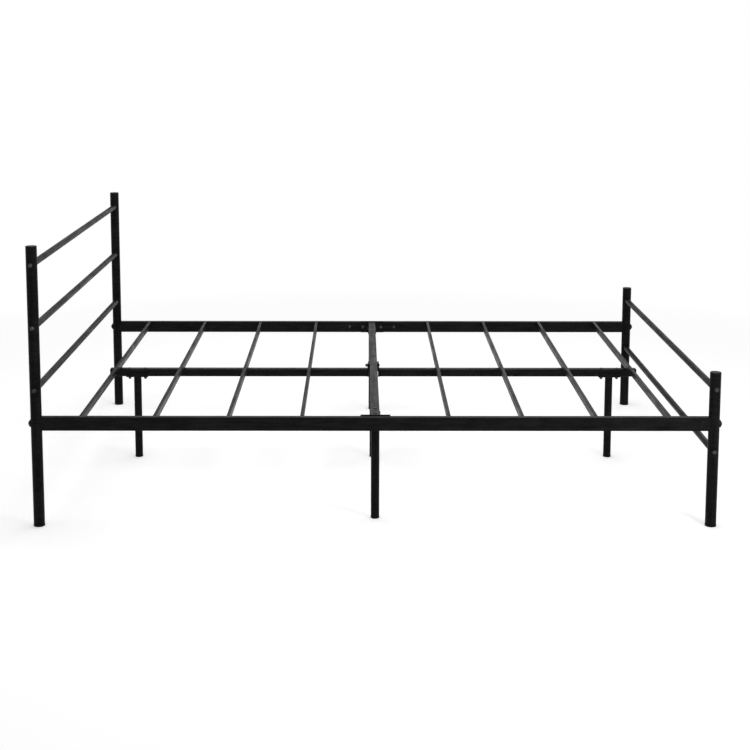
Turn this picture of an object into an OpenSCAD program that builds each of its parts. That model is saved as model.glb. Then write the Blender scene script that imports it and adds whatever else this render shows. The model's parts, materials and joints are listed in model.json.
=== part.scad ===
// Bolted metal bed frame: two post-and-bar ends joined by split side rails,
// a centre rail, a crossbar, flat-topped slats and five intermediate legs.
// X runs along the bed with the foot end at +X, Y runs across it with the
// left side at -Y, and Z = 0 is the floor. Sizes are in millimetres.

/* [Overall] */
// Distance along the bed between the post axes
bed_l = 1943; // [1600:1:2400]
// Distance across the bed between the post axes
bed_w = 1352; // [1000:1:1900]
// Height of the head posts over their caps
head_h = 818; // [620:1:1200]
// Height of the foot posts over their caps
foot_h = 456; // [380:1:600]
// Height of the slat tops and side rails above the floor
deck_h = 324; // [200:1:360]

/* [Posts and bars] */
// Outer diameter of the posts
post_d = 32; // [26:0.5:40]
// Wall of the posts
post_wall = 1.2; // [0.8:0.1:3]
// Outer diameter of the head and foot bars
bar_d = 19; // [14:0.5:24]
// Wall of the bars
bar_wall = 1; // [0.8:0.1:2]
// Top of a head post down to the axis of the top bar
head_bar_drop = 54; // [30:1:90]
// Top of the side rails up to the axis of the lowest head bar
head_bar_rise = 79; // [40:1:120]
// Top of a foot post down to the axis of the upper bar
foot_bar_drop = 49; // [20:1:52]
// Underside of the side rails down to the axis of the lower foot bar
foot_bar_fall = 60; // [30:1:120]

/* [Side rails] */
// Width of the side rail tube
rail_w = 20; // [16:0.5:26]
// Height of the side rail tube
rail_h = 40; // [34:1:60]
// Wall of the side rail tube
rail_wall = 1.2; // [0.8:0.1:2]
// Outside corner radius of the side rail tube
rail_r = 2; // [1.8:0.1:3]
// Length of the sleeve that joins the two halves of a side rail
sleeve_l = 240; // [200:1:300]
// Wall of the joining sleeve
sleeve_wall = 1.5; // [1:0.1:2]
// Post axis to the axis of the barrel nut in the rail
barrel_nut_x = 35.6; // [34:0.1:60]

/* [Slats] */
// Thickness of a slat, which stands on edge
slat_w = 10; // [8:0.5:20]
// Height of a slat
slat_h = 20; // [14:0.5:24]
// Wall of the slats
slat_wall = 1; // [0.8:0.1:1.5]
// Outside corner radius of the slats
slat_r = 1.5; // [1.1:0.1:2]
// Post axis to the axis of the outermost slat
slat_end_x = 125.5; // [90:0.5:160]

/* [Centre beams] */
// Width of the crossbar and centre rail tubes
beam_w = 25; // [20:0.5:30]
// Height of the crossbar and centre rail tubes
beam_h = 25; // [20:0.5:30]
// Wall of the crossbar and centre rail tubes
beam_wall = 1.2; // [0.8:0.1:2]
// Outside corner radius of the crossbar and centre rail tubes
beam_r = 2; // [1.8:0.1:3]
// Post axis to the end of the centre rail
beam_end_x = 96; // [60:1:150]
// Thickness of the end plates welded to the crossbar and centre rail
plate_t = 3; // [2:0.5:4]
// Length of the crossbar end plates along the bed
plate_l = 86; // [82:1:110]
// Height that the crossbar end plates stand above the side rails
plate_rise = 2.5; // [0:0.5:5]
// Width of the centre rail end plates
hub_plate_w = 30; // [26:1:40]

/* [Legs] */
// Outer diameter of the legs
leg_d = 25; // [20:0.5:30]
// Wall of the legs
leg_wall = 1.2; // [0.8:0.1:2]
// Length of a leg saddle
saddle_l = 72; // [66:1:90]
// Thickness of a leg saddle
saddle_t = 2.5; // [1.5:0.5:3]
// Height of a leg saddle over its outside
saddle_h = 16; // [10:1:20]
// Spacing of the two bolts in a leg saddle
saddle_pitch = 52; // [48:1:60]
// Width of the upright bracket on the middle leg
bracket_w = 36; // [26:1:44]
// Post axis to the axis of a centre rail leg
leg_end_x = 183.5; // [165:0.5:200]
// Post axis to the axis of a crossbar leg
side_leg_y = 68; // [64:1:120]

/* [Caps and feet] */
// Thickness of the post caps
cap_t = 3; // [2:0.5:6]
// Thickness of the plastic feet
foot_t = 6; // [4:0.5:10]
// Amount that a foot stands proud of its tube all round
foot_lip = 0.5; // [0:0.1:2]
// Length of the stems that push into the tubes
stem_l = 18; // [10:1:20]
// Wall of the hollow stems
stem_wall = 1.8; // [1.2:0.1:2.5]

/* [Fasteners] */
// Diameter of the corner bolts
corner_bolt_d = 8; // [6:1:8]
// Diameter of the head on a corner bolt
corner_head_d = 16; // [13:0.5:18]
// Height of the head on a corner bolt
corner_head_h = 5; // [4:0.5:6]
// Diameter of every other bolt
bolt_d = 6; // [5:0.5:6]
// Diameter of the head on every other bolt
head_d = 11; // [10:0.5:12]
// Height of the head on every other bolt
head_t = 3.3; // [2.5:0.1:4]
// Diameter of the curved washers on the corner bolts
corner_washer_d = 22; // [18:0.5:24]
// Diameter of the curved washers on the bar bolts
bar_washer_d = 17; // [14:0.5:18]
// Thickness of a curved washer at its middle
washer_t = 2.5; // [1.5:0.5:3]
// Size across the flats of a nut
nut_af = 10; // [9:0.5:10]
// Height of a weld nut
nut_h = 5; // [4:0.5:6]
// Overall height of a dome nut
dome_nut_h = 9.5; // [8:0.5:12]
// Diameter of a barrel nut
barrel_nut_d = 14; // [12:0.5:16]
// Diameter of the flange on a rail hole plug
plug_d = 21; // [18:0.5:24]

/* [Hidden] */

$fn = 48;
steel_colour = [0.09, 0.09, 0.1];
plastic_colour = [0.05, 0.05, 0.05];
bolt_colour = [0.3, 0.3, 0.32];
washer_colour = [0.14, 0.14, 0.15];

// Clearance between pieces that are pushed together
fit = 0.1;
// Clearance between a thread and its nut, on the radius
thread_gap = 0.05;
// Clearance round a bolt in a drilled hole, on the radius
hole_gap = 0.3;
// Extra length that a cutter runs past the face it cuts
eps = 1;

// Places worked out from the driving sizes
post_x = bed_l / 2;
post_y = bed_w / 2;
post_r = post_d / 2;
rail_z = deck_h - rail_h / 2;
rail_in_y = post_y - rail_w / 2;
head_bar_low_z = deck_h + head_bar_rise;
head_bar_top_z = head_h - head_bar_drop;
head_bar_zs = [head_bar_low_z, (head_bar_low_z + head_bar_top_z) / 2, head_bar_top_z];
foot_bar_zs = [deck_h - rail_h - foot_bar_fall, foot_h - foot_bar_drop];
slats_per_half = 4;
slat_pitch = (post_x - slat_end_x) / slats_per_half;
slat_z = deck_h - slat_h / 2;
slat_flange = 1.5;
slat_end_y = rail_in_y - slat_flange - fit;
slat_peg_r = 3;
cross_z = deck_h - beam_h / 2;
// The centre rail runs just clear of the slats that lie over it
slat_rest_gap = 1;
centre_z = deck_h - slat_h - slat_rest_gap - beam_h / 2;
// Crossbar end plates reach the underside of the side rails
plate_low = deck_h - rail_h;
plate_top = deck_h + plate_rise;
plate_in_y = rail_in_y - plate_t;
saddle_gap = 0.25;
saddle_in = beam_w / 2 + saddle_gap;
saddle_out = saddle_in + saddle_t;
// Inner radius of the bends in a saddle or bracket
saddle_bend = 0.2;
hub_x = saddle_out + fit;
hub_out_x = hub_x + plate_t;
hub_drop = 10;
hub_z = deck_h - hub_drop;
joint_xs = [34, 84];
centre_legs_x = [-(post_x - leg_end_x), post_x - leg_end_x];
side_legs_y = [-(post_y - side_leg_y), post_y - side_leg_y];
bolt_r = bolt_d / 2;
corner_bolt_r = corner_bolt_d / 2;
washer_out = post_r + washer_t;
barrel_hole_r = barrel_nut_d / 2 + 2 * fit;
cap_edge_r = 1.2;
sleeve_w = rail_w - 2 * rail_wall - 2 * fit;
sleeve_hh = rail_h - 2 * rail_wall - 2 * fit;
rail_joint_gap = 0.3;
end_nut_l = 22;
// Depth from the post's surface to the outer end of a bar end nut
end_nut_set = 1;
// Length of a hole plug's stem past the rail's wall
hole_stem = 1;
// Depth of the thread in a dome nut
dome_nut_thread = 6;

// ---- Shapes used by more than one piece ----

// Rectangle with round corners, centred on the origin
module round_rect(w, h, r) {
    square([w - 2 * r, h], center = true);
    square([w, h - 2 * r], center = true);
    for (sx = [-1, 1], sy = [-1, 1])
        translate([sx * (w / 2 - r), sy * (h / 2 - r)]) circle(r);
}

// Cross-section of a rectangular tube
module tube_profile(w, h, wall, r) {
    difference() {
        round_rect(w, h, r);
        round_rect(w - 2 * wall, h - 2 * wall, max(r - wall, 0.4));
    }
}

// Turns a shape that runs along Z so that it runs along X, Y staying level
module along_x() { rotate([90, 0, 90]) children(); }

// Turns a shape that runs along Z so that it runs along Y, X staying level
module along_y() { rotate([90, 0, 0]) mirror([0, 0, 1]) children(); }

// Copies a piece made for the foot end to the chosen end of the bed
module at_end(sx) { mirror([sx < 0 ? 1 : 0, 0, 0]) children(); }

// Copies a piece made for the right side to the chosen side of the bed
module at_side(sy) { mirror([0, sy < 0 ? 1 : 0, 0]) children(); }

// Dome-headed bolt with a hexagon socket: the head's seat is at z = 0,
// the head rises along +Z and the shank runs down -Z
module dome_bolt(shank_d, shank_l, d, h) {
    dome_r = (d * d / 4 + h * h) / (2 * h);
    difference() {
        union() {
            intersection() {
                translate([0, 0, h - dome_r]) sphere(dome_r);
                cylinder(r = d / 2, h = h);
            }
            translate([0, 0, -shank_l]) cylinder(d = shank_d, h = shank_l + h / 4);
        }
        translate([0, 0, h * 0.4]) cylinder(r = d * 0.21, h = h, $fn = 6);
    }
}

// Saddle washer: flat outside at z = 0, hollow inside to sit on a round
// post whose axis lies along Y, below it
module curved_washer(d, hole_r) {
    difference() {
        translate([0, 0, -washer_out]) cylinder(d = d, h = washer_out);
        translate([0, 0, -washer_out]) along_y() cylinder(r = post_r, h = 2 * d, center = true);
        translate([0, 0, -washer_out - eps]) cylinder(r = hole_r, h = washer_out + 2 * eps);
        translate([-d, -d, -2 * washer_out]) cube([2 * d, 2 * d, washer_out + washer_out * 0.15]);
    }
}

// Closed dome nut: seat at z = 0, dome pointing along +Z
module dome_nut() {
    hex_h = dome_nut_h * 0.5;
    dome_r = nut_af / 2 - 0.4;
    difference() {
        union() {
            cylinder(r = nut_af / sqrt(3), h = hex_h, $fn = 6);
            translate([0, 0, hex_h - eps]) cylinder(r = dome_r, h = eps * 1.5);
            translate([0, 0, dome_nut_h - dome_r]) intersection() {
                sphere(dome_r);
                translate([0, 0, dome_r / 2 - eps * 0.1]) cube([4 * dome_r, 4 * dome_r, dome_r + eps * 0.2], center = true);
            }
        }
        translate([0, 0, -eps]) cylinder(r = bolt_r + thread_gap, h = dome_nut_thread + eps);
    }
}
// Weld nut standing on z = 0
module weld_nut() {
    difference() {
        cylinder(r = nut_af / sqrt(3), h = nut_h, $fn = 6);
        translate([0, 0, -eps]) cylinder(r = bolt_r + thread_gap, h = nut_h + 2 * eps);
    }
}

// Push-in cap: a disc with a rounded top edge on z = 0, and a hollow stem below
module push_cap(disc_r, disc_t, stem_r, length) {
    edge_r = min(cap_edge_r, disc_t / 2);
    rotate_extrude() {
        square([disc_r - edge_r, disc_t]);
        square([disc_r, disc_t - edge_r]);
        translate([disc_r - edge_r, disc_t - edge_r]) circle(edge_r);
    }
    difference() {
        translate([0, 0, -length]) cylinder(r = stem_r, h = length);
        translate([0, 0, -length - eps]) cylinder(r = stem_r - stem_wall, h = length + eps);
    }
}

// ---- Posts ----

// Post tube on its own axis, drilled for its bars and for the corner bolt
module post(height, bar_zs) {
    color(steel_colour) difference() {
        translate([0, 0, foot_t]) cylinder(r = post_r, h = height - cap_t - foot_t);
        cylinder(r = post_r - post_wall, h = height);
        for (z = bar_zs)
            translate([0, 0, z]) along_y() cylinder(r = bolt_r + hole_gap, h = 2 * post_d, center = true);
        translate([0, 0, rail_z]) along_x() cylinder(r = corner_bolt_r + hole_gap, h = 2 * post_d, center = true);
    }
}

module head_post(sy) { translate([-post_x, sy * post_y, 0]) post(head_h, head_bar_zs); }
module foot_post(sy) { translate([post_x, sy * post_y, 0]) post(foot_h, foot_bar_zs); }

module head_post_left() { head_post(-1); }
module head_post_right() { head_post(1); }
module foot_post_left() { foot_post(-1); }
module foot_post_right() { foot_post(1); }

// ---- Head and foot bars ----

// Round bar between two posts, each end cut to the post's curve
module bar(x, z) {
    color(steel_colour) difference() {
        translate([x, 0, z]) along_y() cylinder(d = bar_d, h = bed_w, center = true);
        translate([x, 0, z]) along_y() cylinder(d = bar_d - 2 * bar_wall, h = bed_w + 2 * eps, center = true);
        for (sy = [-1, 1])
            translate([x, sy * post_y, z - bar_d]) cylinder(r = post_r + fit, h = 2 * bar_d);
    }
}

module head_bar_lower() { bar(-post_x, head_bar_zs[0]); }
module head_bar_middle() { bar(-post_x, head_bar_zs[1]); }
module head_bar_top() { bar(-post_x, head_bar_zs[2]); }
module foot_bar_lower() { bar(post_x, foot_bar_zs[0]); }
module foot_bar_upper() { bar(post_x, foot_bar_zs[1]); }

// ---- Side rails ----

// Half of a side rail, made for the foot end and the right side
module side_rail() {
    color(steel_colour) difference() {
        translate([rail_joint_gap / 2, post_y, rail_z]) along_x()
            linear_extrude(post_x - rail_joint_gap / 2) tube_profile(rail_w, rail_h, rail_wall, rail_r);
        translate([post_x, post_y, 0]) cylinder(r = post_r + fit, h = deck_h + eps);
        translate([post_x - barrel_nut_x, post_y, rail_z]) along_y() cylinder(r = barrel_hole_r, h = rail_w);
        for (i = [1 : slats_per_half])
            translate([i * slat_pitch, rail_in_y - eps, slat_z]) along_y()
                cylinder(r = slat_peg_r + fit, h = rail_w / 2);
        for (x = joint_xs)
            translate([x, rail_in_y - eps, rail_z]) along_y() cylinder(r = bolt_r + hole_gap, h = rail_w / 2);
    }
}

module side_rail_head_left() { at_end(-1) at_side(-1) side_rail(); }
module side_rail_head_right() { at_end(-1) at_side(1) side_rail(); }
module side_rail_foot_left() { at_end(1) at_side(-1) side_rail(); }
module side_rail_foot_right() { at_end(1) at_side(1) side_rail(); }

// Sleeve inside a side rail's middle joint, drilled on its inner wall
module rail_sleeve() {
    color(steel_colour) difference() {
        translate([-sleeve_l / 2, post_y, rail_z]) along_x()
            linear_extrude(sleeve_l) tube_profile(sleeve_w, sleeve_hh, sleeve_wall, max(rail_r - rail_wall, 0.8));
        for (sx = [-1, 1], x = joint_xs)
            translate([sx * x, post_y - sleeve_w / 2 - eps, rail_z]) along_y()
                cylinder(r = bolt_r + hole_gap, h = sleeve_w / 2);
    }
}

module rail_sleeve_left() { at_side(-1) rail_sleeve(); }
module rail_sleeve_right() { at_side(1) rail_sleeve(); }

// ---- Slats ----

// Slat number i, counted from the head end, with the crossbar in the middle
function slat_x(i) = (i <= slats_per_half ? i - slats_per_half - 1 : i - slats_per_half) * slat_pitch;

module slat(i) {
    color(steel_colour) translate([slat_x(i), -slat_end_y, slat_z]) along_y()
        linear_extrude(2 * slat_end_y) tube_profile(slat_w, slat_h, slat_wall, slat_r);
}

module slat_1() { slat(1); }
module slat_2() { slat(2); }
module slat_3() { slat(3); }
module slat_4() { slat(4); }
module slat_5() { slat(5); }
module slat_6() { slat(6); }
module slat_7() { slat(7); }
module slat_8() { slat(8); }

// ---- Crossbar and centre rail ----

// Crossbar with an end plate welded across each end
module crossbar() {
    color(steel_colour) difference() {
        union() {
            translate([0, -plate_in_y - eps, cross_z]) along_y()
                linear_extrude(2 * (plate_in_y + eps)) tube_profile(beam_w, beam_h, beam_wall, beam_r);
            for (sy = [-1, 1])
                at_side(sy) translate([-plate_l / 2, plate_in_y, plate_low])
                    cube([plate_l, plate_t - fit, plate_top - plate_low]);
        }
        for (sy = [-1, 1], sx = [-1, 1])
            at_side(sy) translate([sx * joint_xs[0], plate_in_y - eps, rail_z]) along_y()
                cylinder(r = bolt_r + hole_gap, h = plate_t + 2 * eps);
        for (y = side_legs_y, sy = [-1, 1])
            translate([0, y + sy * saddle_pitch / 2, cross_z]) cylinder(r = bolt_r + hole_gap, h = 2 * beam_h, center = true);
        translate([0, 0, hub_z]) along_x() cylinder(r = bolt_r + hole_gap, h = 2 * beam_w, center = true);
    }
}

// Half of the centre rail, made for the foot end, with its welded end plate
module centre_rail() {
    color(steel_colour) difference() {
        union() {
            translate([hub_out_x - plate_t / 2, 0, centre_z]) along_x()
                linear_extrude(post_x - beam_end_x - hub_out_x + plate_t / 2)
                    tube_profile(beam_w, beam_h, beam_wall, beam_r);
            translate([hub_x, -hub_plate_w / 2, centre_z - beam_h / 2])
                cube([plate_t, hub_plate_w, deck_h - centre_z + beam_h / 2]);
        }
        translate([hub_x - eps, 0, hub_z]) along_x() cylinder(r = bolt_r + hole_gap, h = plate_t + 2 * eps);
        for (sx = [-1, 1])
            translate([post_x - leg_end_x + sx * saddle_pitch / 2, 0, centre_z])
                cylinder(r = bolt_r + hole_gap, h = 2 * beam_h, center = true);
    }
}

module centre_rail_head() { at_end(-1) centre_rail(); }
module centre_rail_foot() { at_end(1) centre_rail(); }

// ---- Legs ----

// Cross-section of the plate that cups a tube: a flat base with its underside
// at zero, two round bends and two walls
module bent_plate(height) {
    bend_out = saddle_bend + saddle_t;
    difference() {
        union() {
            translate([-saddle_out, bend_out]) square([2 * saddle_out, height - bend_out]);
            translate([bend_out - saddle_out, 0]) square([2 * (saddle_out - bend_out), height]);
            for (s = [-1, 1]) translate([s * (saddle_out - bend_out), bend_out]) circle(bend_out);
        }
        translate([-saddle_in, saddle_t + saddle_bend]) square([2 * saddle_in, height]);
        translate([saddle_bend - saddle_in, saddle_t]) square([2 * (saddle_in - saddle_bend), height]);
        for (s = [-1, 1]) translate([s * (saddle_in - saddle_bend), saddle_t + saddle_bend]) circle(saddle_bend);
    }
}

// Leg whose saddle carries a tube along X with its underside at beam_low
module saddle_leg(beam_low) {
    base_low = beam_low - saddle_t;
    color(steel_colour) difference() {
        union() {
            translate([0, 0, foot_t]) cylinder(d = leg_d, h = base_low - foot_t + saddle_t / 2);
            translate([0, 0, base_low]) along_x() linear_extrude(saddle_l, center = true) bent_plate(saddle_h);
        }
        translate([0, 0, foot_t - eps]) cylinder(d = leg_d - 2 * leg_wall, h = base_low - foot_t + eps);
        for (sx = [-1, 1])
            translate([sx * saddle_pitch / 2, 0, beam_low]) cylinder(r = bolt_r + hole_gap, h = 4 * saddle_t, center = true);
    }
}

// Middle leg: its tall bracket holds the crossbar and takes the through bolt
module bracket_leg() {
    beam_low = cross_z - beam_h / 2;
    base_low = beam_low - saddle_t;
    wall_top = deck_h - plate_t / 2;
    color(steel_colour) difference() {
        union() {
            translate([0, 0, foot_t]) cylinder(d = leg_d, h = base_low - foot_t + saddle_t / 2);
            translate([0, 0, base_low]) along_y() linear_extrude(bracket_w, center = true) bent_plate(wall_top - base_low);
        }
        translate([0, 0, foot_t - eps]) cylinder(d = leg_d - 2 * leg_wall, h = base_low - foot_t + eps);
        translate([0, 0, hub_z]) along_x() cylinder(r = bolt_r + hole_gap, h = 4 * saddle_out, center = true);
    }
}

module centre_leg_head() { translate([centre_legs_x[0], 0, 0]) saddle_leg(centre_z - beam_h / 2); }
module centre_leg_foot() { translate([centre_legs_x[1], 0, 0]) saddle_leg(centre_z - beam_h / 2); }
module centre_leg_middle() { bracket_leg(); }
module side_leg_left() { translate([0, side_legs_y[0], 0]) rotate([0, 0, 90]) saddle_leg(cross_z - beam_h / 2); }
module side_leg_right() { translate([0, side_legs_y[1], 0]) rotate([0, 0, 90]) saddle_leg(cross_z - beam_h / 2); }

// ---- Caps, feet and plugs ----

module post_caps() {
    color(plastic_colour)
        for (end = [[-post_x, head_h], [post_x, foot_h]], sy = [-1, 1])
            translate([end[0], sy * post_y, end[1] - cap_t])
                push_cap(post_r, cap_t, post_r - post_wall - fit, stem_l);
}

// Foot: a cap turned over, standing on the floor
module tube_foot(tube_r, wall) {
    translate([0, 0, foot_t]) mirror([0, 0, 1]) push_cap(tube_r + foot_lip, foot_t, tube_r - wall - fit, stem_l);
}

module post_feet() {
    color(plastic_colour)
        for (sx = [-1, 1], sy = [-1, 1])
            translate([sx * post_x, sy * post_y, 0]) tube_foot(post_r, post_wall);
}

module leg_feet() {
    color(plastic_colour) {
        for (x = [centre_legs_x[0], 0, centre_legs_x[1]]) translate([x, 0, 0]) tube_foot(leg_d / 2, leg_wall);
        for (y = side_legs_y) translate([0, y, 0]) tube_foot(leg_d / 2, leg_wall);
    }
}

// Square caps in the outer ends of the centre rail
module centre_rail_caps() {
    cap_w = beam_w - 2 * beam_wall - 2 * fit;
    cap_h = beam_h - 2 * beam_wall - 2 * fit;
    color(plastic_colour)
        for (sx = [-1, 1])
            at_end(sx) translate([post_x - beam_end_x, 0, centre_z]) along_x() {
                linear_extrude(cap_t) round_rect(beam_w, beam_h, beam_r);
                translate([0, 0, -stem_l]) linear_extrude(stem_l + eps) tube_profile(cap_w, cap_h, stem_wall, beam_r - beam_wall);
            }
}

// Plugs in the slat ends, each with a peg that locates in the side rail
module slat_end_plugs() {
    core_w = slat_w - 2 * slat_wall - 2 * fit;
    core_h = slat_h - 2 * slat_wall - 2 * fit;
    peg_l = rail_wall + 2;
    color(plastic_colour)
        for (i = [1 : 2 * slats_per_half], sy = [-1, 1])
            at_side(sy) translate([slat_x(i), slat_end_y, slat_z]) along_y() {
                linear_extrude(slat_flange) round_rect(slat_w, slat_h, slat_r);
                translate([0, 0, -stem_l]) linear_extrude(stem_l + eps) round_rect(core_w, core_h, 0.5);
                cylinder(r = slat_peg_r, h = slat_flange + fit + peg_l);
            }
}

// Round plugs that cover the barrel nut holes in the side rails
module rail_hole_plugs() {
    flange_t = 1.6;
    color(plastic_colour)
        for (sx = [-1, 1], sy = [-1, 1])
            at_end(sx) at_side(sy) translate([post_x - barrel_nut_x, post_y + rail_w / 2, rail_z]) along_y() {
                push_cap(plug_d / 2, flange_t, barrel_hole_r - fit, rail_wall + hole_stem);
            }
}

// ---- Fasteners ----

// Corner bolts: along the bed, from outside each post into its side rail
module corner_bolts() {
    color(bolt_colour)
        for (sx = [-1, 1], sy = [-1, 1])
            at_end(sx) translate([post_x + washer_out, sy * post_y, rail_z]) along_x()
                dome_bolt(corner_bolt_d, washer_out + barrel_nut_x + barrel_nut_d / 2 + 2, corner_head_d, corner_head_h);
}

module corner_washers() {
    color(washer_colour)
        for (sx = [-1, 1], sy = [-1, 1])
            at_end(sx) translate([post_x + washer_out, sy * post_y, rail_z]) along_x()
                curved_washer(corner_washer_d, corner_bolt_r + hole_gap);
}

// Barrel nuts lie across the side rails, behind the hole plugs
module corner_barrel_nuts() {
    nut_low = -rail_w / 2 + rail_wall + fit;
    nut_high = rail_w / 2 - rail_wall - hole_stem - fit;
    color(bolt_colour)
        for (sx = [-1, 1], sy = [-1, 1])
            at_end(sx) at_side(sy) translate([post_x - barrel_nut_x, post_y, rail_z])
                difference() {
                    translate([0, nut_low, 0]) along_y() cylinder(d = barrel_nut_d, h = nut_high - nut_low);
                    along_x() cylinder(r = corner_bolt_r + thread_gap, h = 2 * barrel_nut_d, center = true);
                }
}

// Places a bar fastener at each end of each bar, its +Z pointing outwards
module at_bar_ends(y) {
    for (z = head_bar_zs, sy = [-1, 1])
        at_side(sy) translate([-post_x, y, z]) along_y() children();
    for (z = foot_bar_zs, sy = [-1, 1])
        at_side(sy) translate([post_x, y, z]) along_y() children();
}

module bar_bolts() {
    shank_l = washer_out + post_r + end_nut_set + end_nut_l * 0.6;
    color(bolt_colour) at_bar_ends(post_y + washer_out) dome_bolt(bolt_d, shank_l, head_d, head_t);
}

module bar_washers() {
    color(washer_colour) at_bar_ends(post_y + washer_out) curved_washer(bar_washer_d, bolt_r + hole_gap);
}

// Threaded plugs fixed inside the bar ends
module bar_end_nuts() {
    color(bolt_colour) at_bar_ends(post_y - post_r - end_nut_set - end_nut_l)
        difference() {
            cylinder(r = bar_d / 2 - bar_wall - fit, h = end_nut_l);
            translate([0, 0, -eps]) cylinder(r = bolt_r + thread_gap, h = end_nut_l + 2 * eps);
        }
}

// Bolts through the inner faces of the side rails into the sleeves
module rail_joint_bolts() {
    into_nut = rail_wall + fit + sleeve_wall + nut_h + 1;
    color(bolt_colour)
        for (sx = [-1, 1], sy = [-1, 1])
            at_end(sx) at_side(sy) {
                translate([joint_xs[0], plate_in_y, rail_z]) rotate([90, 0, 0])
                    dome_bolt(bolt_d, into_nut + plate_t, head_d, head_t);
                translate([joint_xs[1], rail_in_y, rail_z]) rotate([90, 0, 0])
                    dome_bolt(bolt_d, into_nut, head_d, head_t);
            }
}

module rail_weld_nuts() {
    color(bolt_colour)
        for (sx = [-1, 1], sy = [-1, 1], x = joint_xs)
            at_end(sx) at_side(sy)
                translate([x, post_y - sleeve_w / 2 + sleeve_wall, rail_z]) along_y() weld_nut();
}

// Places a saddle fastener at each of the eight saddle bolt holes, at a
// height above the underside of the tube that the saddle carries
module at_saddle_holes(rise) {
    for (x = centre_legs_x, s = [-1, 1])
        translate([x + s * saddle_pitch / 2, 0, centre_z - beam_h / 2 + rise]) children();
    for (y = side_legs_y, s = [-1, 1])
        translate([0, y + s * saddle_pitch / 2, cross_z - beam_h / 2 + rise]) children();
}

module leg_bolts() {
    shank_l = beam_h + saddle_t + dome_nut_thread - 1;
    color(bolt_colour) at_saddle_holes(beam_h) dome_bolt(bolt_d, shank_l, head_d, head_t);
}

module leg_dome_nuts() {
    color(bolt_colour) at_saddle_holes(-saddle_t) mirror([0, 0, 1]) dome_nut();
}

// One bolt along the bed clamps the centre rail halves to the crossbar
module hub_bolt() {
    color(bolt_colour) translate([hub_out_x, 0, hub_z]) along_x()
        dome_bolt(bolt_d, 2 * hub_out_x + dome_nut_thread - 1, head_d, head_t);
}

module hub_dome_nut() {
    color(bolt_colour) at_end(-1) translate([hub_out_x, 0, hub_z]) along_x() dome_nut();
}

head_post_left();
head_post_right();
foot_post_left();
foot_post_right();
head_bar_top();
head_bar_middle();
head_bar_lower();
foot_bar_upper();
foot_bar_lower();
side_rail_head_left();
side_rail_head_right();
side_rail_foot_left();
side_rail_foot_right();
rail_sleeve_left();
rail_sleeve_right();
crossbar();
centre_rail_head();
centre_rail_foot();
slat_1();
slat_2();
slat_3();
slat_4();
slat_5();
slat_6();
slat_7();
slat_8();
centre_leg_head();
centre_leg_middle();
centre_leg_foot();
side_leg_left();
side_leg_right();
post_caps();
post_feet();
leg_feet();
centre_rail_caps();
slat_end_plugs();
rail_hole_plugs();
corner_bolts();
corner_washers();
corner_barrel_nuts();
bar_bolts();
bar_washers();
bar_end_nuts();
rail_joint_bolts();
rail_weld_nuts();
leg_bolts();
leg_dome_nuts();
hub_bolt();
hub_dome_nut();
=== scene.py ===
"""Looks of the metal bed frame: finishes, caps, feet, fasteners, weld beads and the studio."""

import json
import math

import bmesh
import bpy
import numpy as np
from bpy.props import FloatProperty, FloatVectorProperty, PointerProperty
from mathutils import Matrix, Vector


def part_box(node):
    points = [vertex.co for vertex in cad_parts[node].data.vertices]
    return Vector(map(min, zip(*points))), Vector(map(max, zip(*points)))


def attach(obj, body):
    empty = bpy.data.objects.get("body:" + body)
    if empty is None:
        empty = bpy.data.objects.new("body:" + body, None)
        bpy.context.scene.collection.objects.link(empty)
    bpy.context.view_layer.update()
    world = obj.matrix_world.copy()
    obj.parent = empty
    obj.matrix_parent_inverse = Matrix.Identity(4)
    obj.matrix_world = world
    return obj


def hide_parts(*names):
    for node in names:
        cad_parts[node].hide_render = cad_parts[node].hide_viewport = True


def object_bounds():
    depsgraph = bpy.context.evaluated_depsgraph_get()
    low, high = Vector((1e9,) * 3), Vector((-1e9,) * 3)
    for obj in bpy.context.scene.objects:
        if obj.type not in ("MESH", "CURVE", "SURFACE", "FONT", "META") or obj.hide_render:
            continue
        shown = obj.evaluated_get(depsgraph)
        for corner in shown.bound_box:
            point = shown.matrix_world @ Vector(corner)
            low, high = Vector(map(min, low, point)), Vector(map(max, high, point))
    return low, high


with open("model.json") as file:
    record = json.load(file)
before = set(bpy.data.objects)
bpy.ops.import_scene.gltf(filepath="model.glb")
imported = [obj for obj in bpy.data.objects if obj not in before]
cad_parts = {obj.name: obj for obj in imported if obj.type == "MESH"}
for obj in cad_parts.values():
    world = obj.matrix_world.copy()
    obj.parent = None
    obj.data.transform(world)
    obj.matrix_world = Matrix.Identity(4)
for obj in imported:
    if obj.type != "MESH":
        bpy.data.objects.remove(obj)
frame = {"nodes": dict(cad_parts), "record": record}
cad_low, cad_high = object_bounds()

bl_info = {
    "name": "Metal bed frame finish",
    "version": (1, 0, 0),
    "blender": (4, 5, 0),
    "location": "View3D > Sidebar > Bed frame",
    "description": "Adds caps, feet, fasteners, weld beads, finishes and a studio to a bed frame",
    "category": "Object",
}

MM = 0.001
BODY = "root"
ENDS = (-1, 1)
FLOOR_REACH = 40.0
FLOOR_LIFT = 0.31
FLOOR_WHITE_FROM = 1.3
FLOOR_WHITE_BY = 3.2
STREAK_SCALE = 150.0
SPECK_SCALE = 420.0
PATCH_SCALE = 9.0
BUMP_STRENGTH = 0.5

# ---------------------------------------------------------------- places taken from the frame

POSTS = ("head_post_left", "head_post_right", "foot_post_left", "foot_post_right")
BARS = ("head_bar_top", "head_bar_middle", "head_bar_lower", "foot_bar_upper", "foot_bar_lower")
CENTRE_LEGS = ("centre_leg_head", "centre_leg_foot")
SIDE_LEGS = ("side_leg_left", "side_leg_right")
MIDDLE_LEG = "centre_leg_middle"


def centre(node):
    """Middle of a CAD node's box, as a numpy array in metres."""
    low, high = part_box(node)
    return (np.array(low) + np.array(high)) / 2


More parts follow.
